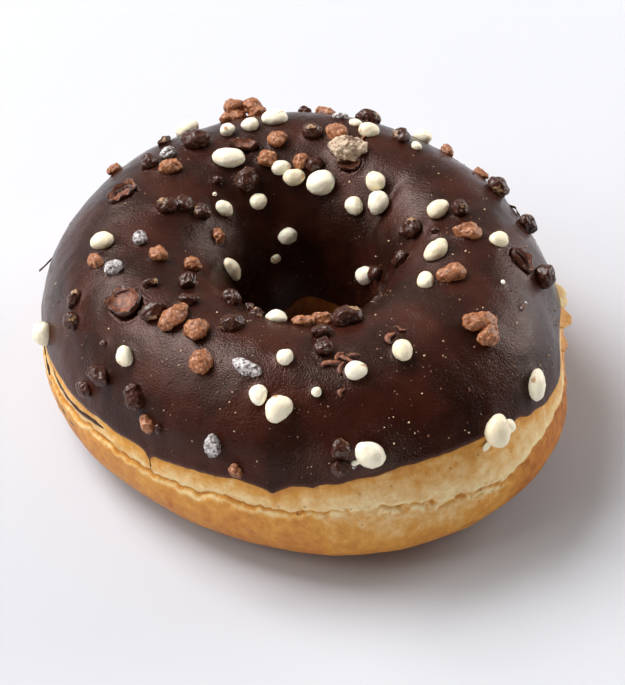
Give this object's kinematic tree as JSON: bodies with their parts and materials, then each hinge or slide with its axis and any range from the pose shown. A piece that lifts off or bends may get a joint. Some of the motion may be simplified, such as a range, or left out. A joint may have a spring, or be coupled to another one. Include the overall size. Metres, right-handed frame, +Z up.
{
  "type": "ring doughnut",
  "caption": "Raised ring doughnut with chocolate glaze over its top and coated crisps set in the glaze, standing on its flat foot.",
  "frame": {"origin": "centre of the outer box at the level of the flat foot", "axes": "+Z up, out of the glazed side; +X to the right and -Y towards the viewer of the shown side"},
  "size_m": [0.0932, 0.0954, 0.0396],
  "materials": {
    "dough": "matte baked crust",
    "icing": "satin chocolate glaze"
  },
  "bodies": {
    "root": {"dough": "dough", "icing": "icing"}
  },
  "joints": []
}
